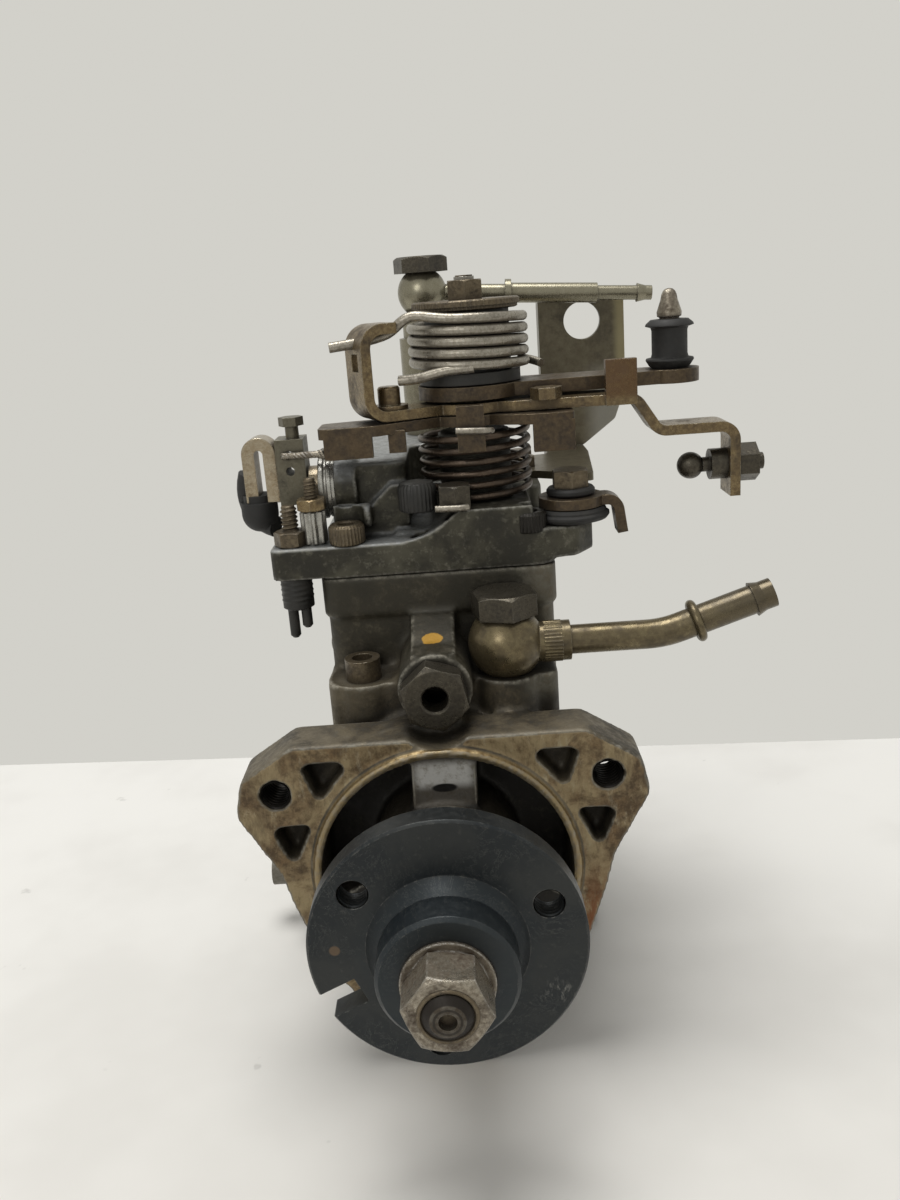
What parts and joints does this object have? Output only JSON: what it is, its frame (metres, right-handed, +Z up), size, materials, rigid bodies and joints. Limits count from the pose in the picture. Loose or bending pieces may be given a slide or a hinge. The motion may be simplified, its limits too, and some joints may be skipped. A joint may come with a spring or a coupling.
{
  "type": "diesel injection pump",
  "caption": "Rotary diesel injection pump with flanged drive hub, governor cover, stacked throttle levers with springs, fuel banjos and a rear distributor head.",
  "frame": {"origin": "centre of the pilot spigot on the mounting face of the flange", "axes": "drive shaft along Y with its driven end at -Y, +Z up towards the governor cover and the throttle levers, +X towards the fuel inlet pipe"},
  "size_m": [0.1698, 0.2379, 0.2329],
  "materials": {
    "cast_aluminium": "dirty cast",
    "cover_casting": "dirty cast",
    "screw_steel": "worn",
    "hub_steel": "dark phosphated",
    "nut_steel": "worn",
    "dark_steel": "dark, oily",
    "bronze_zinc": "aged yellow zinc",
    "light_zinc": "pale zinc",
    "spring_silver": "bright",
    "spring_dark": "dark",
    "black_plastic": "matte",
    "rubber": "matte",
    "timing_casting": "dirty cast",
    "head_steel": "machined",
    "solenoid_can": "pale zinc",
    "ground_steel": "ground",
    "bush_bronze": "machined"
  },
  "bodies": {
    "root": {"pump_housing": "cast_aluminium", "governor_cover": "cover_casting", "cover_screws": "screw_steel", "regulating_valve": "dark_steel", "inlet_banjo_bolt": "dark_steel", "inlet_union": "bronze_zinc", "return_post": "light_zinc", "return_banjo_bolt": "screw_steel", "return_union": "light_zinc", "adjusting_screws": "screw_steel", "cable_bracket": "light_zinc", "distributor_head": "head_steel", "delivery_valve_holders": "head_steel", "fuel_cut_solenoid": "solenoid_can", "head_plug": "head_steel", "timing_covers": "timing_casting", "housing_screws": "screw_steel", "shaft_bush": "bush_bronze", "shaft_seal": "rubber", "pump_cam_ring": "ground_steel", "pump_cover_plate": "ground_steel", "governor_shaft": "ground_steel", "governor_spring": "spring_dark", "stop_lever_bolt": "screw_steel", "timing_spring": "spring_dark", "lower_spring": "spring_dark"},
    "drive_rotor": {"drive_shaft": "nut_steel", "drive_hub": "hub_steel", "hub_nut": "nut_steel", "pump_rotor": "ground_steel", "governor_drive_gear": "ground_steel", "cam_plate": "ground_steel", "plunger": "ground_steel"},
    "governor_rotor": {"governor_gear": "ground_steel"},
    "flyweight_body_1": {"flyweight_1": "ground_steel"},
    "flyweight_body_2": {"flyweight_2": "ground_steel"},
    "flyweight_body_3": {"flyweight_3": "ground_steel"},
    "flyweight_body_4": {"flyweight_4": "ground_steel"},
    "sleeve": {"sliding_sleeve": "ground_steel"},
    "tension_lever": {"governor_lever": "ground_steel"},
    "spill_collar": {"spill_ring": "ground_steel"},
    "ring": {"roller_ring": "ground_steel"},
    "piston": {"timing_piston": "ground_steel"},
    "outlet_valves": {"delivery_valves": "ground_steel"},
    "fuel_cut": {"solenoid_plunger": "ground_steel"},
    "throttle": {"lever_shaft": "ground_steel", "shaft_lever": "dark_steel", "accelerator_lever": "bronze_zinc", "ball_stud": "bronze_zinc", "spring_retainer": "bronze_zinc", "lever_nut": "screw_steel", "spring_collar": "black_plastic", "upper_spring": "spring_silver"},
    "cable_arm": {"cable_lever": "bronze_zinc", "cable_pin": "bronze_zinc", "cable_bush": "rubber"},
    "stop_arm": {"stop_lever": "dark_steel"},
    "idle_arm": {"fast_idle_lever": "bronze_zinc", "cable_clamp": "light_zinc", "fast_idle_boot": "rubber"}
  },
  "joints": [
    {"name": "drive_spin", "type": "hinge", "parent": "root", "child": "drive_rotor", "pos_m": [0, 0, 0], "axis": [0, 1, 0], "continuous": true},
    {"name": "governor_spin", "type": "hinge", "parent": "root", "child": "governor_rotor", "pos_m": [0, 0.05, 0.0525], "axis": [0, 1, 0], "continuous": true},
    {"name": "governor_tilt", "type": "hinge", "parent": "root", "child": "tension_lever", "pos_m": [0, 0.1035, 0.029], "axis": [-1, 0, 0], "range_deg": [0, 6.63], "stiffness_Nm_per_rad": 0.5, "springref_deg": -5.73, "deforming": ["governor_spring"]},
    {"name": "sleeve_slide", "type": "slide", "parent": "root", "child": "sleeve", "axis": [0, 1, 0], "range_m": [0, 0.00273]},
    {"name": "spill_slide", "type": "slide", "parent": "root", "child": "spill_collar", "axis": [0, -1, 0], "range_m": [0, 0.00227]},
    {"name": "timing_slide", "type": "slide", "parent": "root", "child": "piston", "axis": [-1, 0, 0], "range_m": [0, 0.01], "stiffness_N_per_m": 1500, "springref_m": -0.004, "deforming": ["timing_spring"]},
    {"name": "roller_ring_turn", "type": "hinge", "parent": "root", "child": "ring", "pos_m": [0, 0.081, 0], "axis": [0, 1, 0], "range_deg": [0, 11.9]},
    {"name": "delivery_lift", "type": "slide", "parent": "root", "child": "outlet_valves", "axis": [0, 1, 0], "range_m": [0, 0.0015], "stiffness_N_per_m": 1500, "springref_m": -0.002},
    {"name": "fuel_cut_lift", "type": "slide", "parent": "root", "child": "fuel_cut", "axis": [0, 0, 1], "range_m": [0, 0.003], "stiffness_N_per_m": 400, "springref_m": -0.004},
    {"name": "throttle_turn", "type": "hinge", "parent": "root", "child": "throttle", "pos_m": [0.016, 0.061, 0.12], "axis": [0, 0, 1], "range_deg": [0, 35], "stiffness_Nm_per_rad": 0.4, "springref_deg": -28.65, "deforming": ["lower_spring"]},
    {"name": "cable_arm_turn", "type": "hinge", "parent": "throttle", "child": "cable_arm", "pos_m": [0.016, 0.061, 0.127], "axis": [0, 0, 1], "range_deg": [0, 8], "stiffness_Nm_per_rad": 0.8, "springref_deg": -17.19, "deforming": ["upper_spring"]},
    {"name": "stop_turn", "type": "hinge", "parent": "root", "child": "stop_arm", "pos_m": [0.0435, 0.047, 0.094], "axis": [0, 0, 1], "range_deg": [0, 30], "stiffness_Nm_per_rad": 0.05, "springref_deg": -28.65},
    {"name": "fast_idle_turn", "type": "hinge", "parent": "root", "child": "idle_arm", "pos_m": [-0.03, 0.055, 0.102], "axis": [-1, 0, 0], "range_deg": [0, 25], "stiffness_Nm_per_rad": 0.1, "springref_deg": -28.65},
    {"name": "flyweight_swing_1", "type": "hinge", "parent": "governor_rotor", "child": "flyweight_body_1", "pos_m": [0.0185, 0.062, 0.0525], "axis": [0, 0, -1], "range_deg": [0, 12]},
    {"name": "flyweight_swing_2", "type": "hinge", "parent": "governor_rotor", "child": "flyweight_body_2", "pos_m": [0, 0.062, 0.071], "axis": [1, 0, 0], "range_deg": [0, 12]},
    {"name": "flyweight_swing_3", "type": "hinge", "parent": "governor_rotor", "child": "flyweight_body_3", "pos_m": [-0.0185, 0.062, 0.0525], "axis": [0, 0, 1], "range_deg": [0, 12]},
    {"name": "flyweight_swing_4", "type": "hinge", "parent": "governor_rotor", "child": "flyweight_body_4", "pos_m": [0, 0.062, 0.034], "axis": [-1, 0, 0], "range_deg": [0, 12]}
  ],
  "couplings": [
    {"joint": "governor_spin", "follows": "drive_spin", "ratio": -1.6087},
    {"joint": "sleeve_slide", "follows": "governor_tilt", "m_per_rad": 0.0235},
    {"joint": "spill_slide", "follows": "governor_tilt", "m_per_rad": 0.0195},
    {"joint": "roller_ring_turn", "follows": "timing_slide", "rad_per_m": 20.619},
    {"joint": "flyweight_swing_1", "follows": "governor_tilt", "ratio": 1.809},
    {"joint": "flyweight_swing_2", "follows": "governor_tilt", "ratio": 1.809},
    {"joint": "flyweight_swing_3", "follows": "governor_tilt", "ratio": 1.809},
    {"joint": "flyweight_swing_4", "follows": "governor_tilt", "ratio": 1.809}
  ]
}
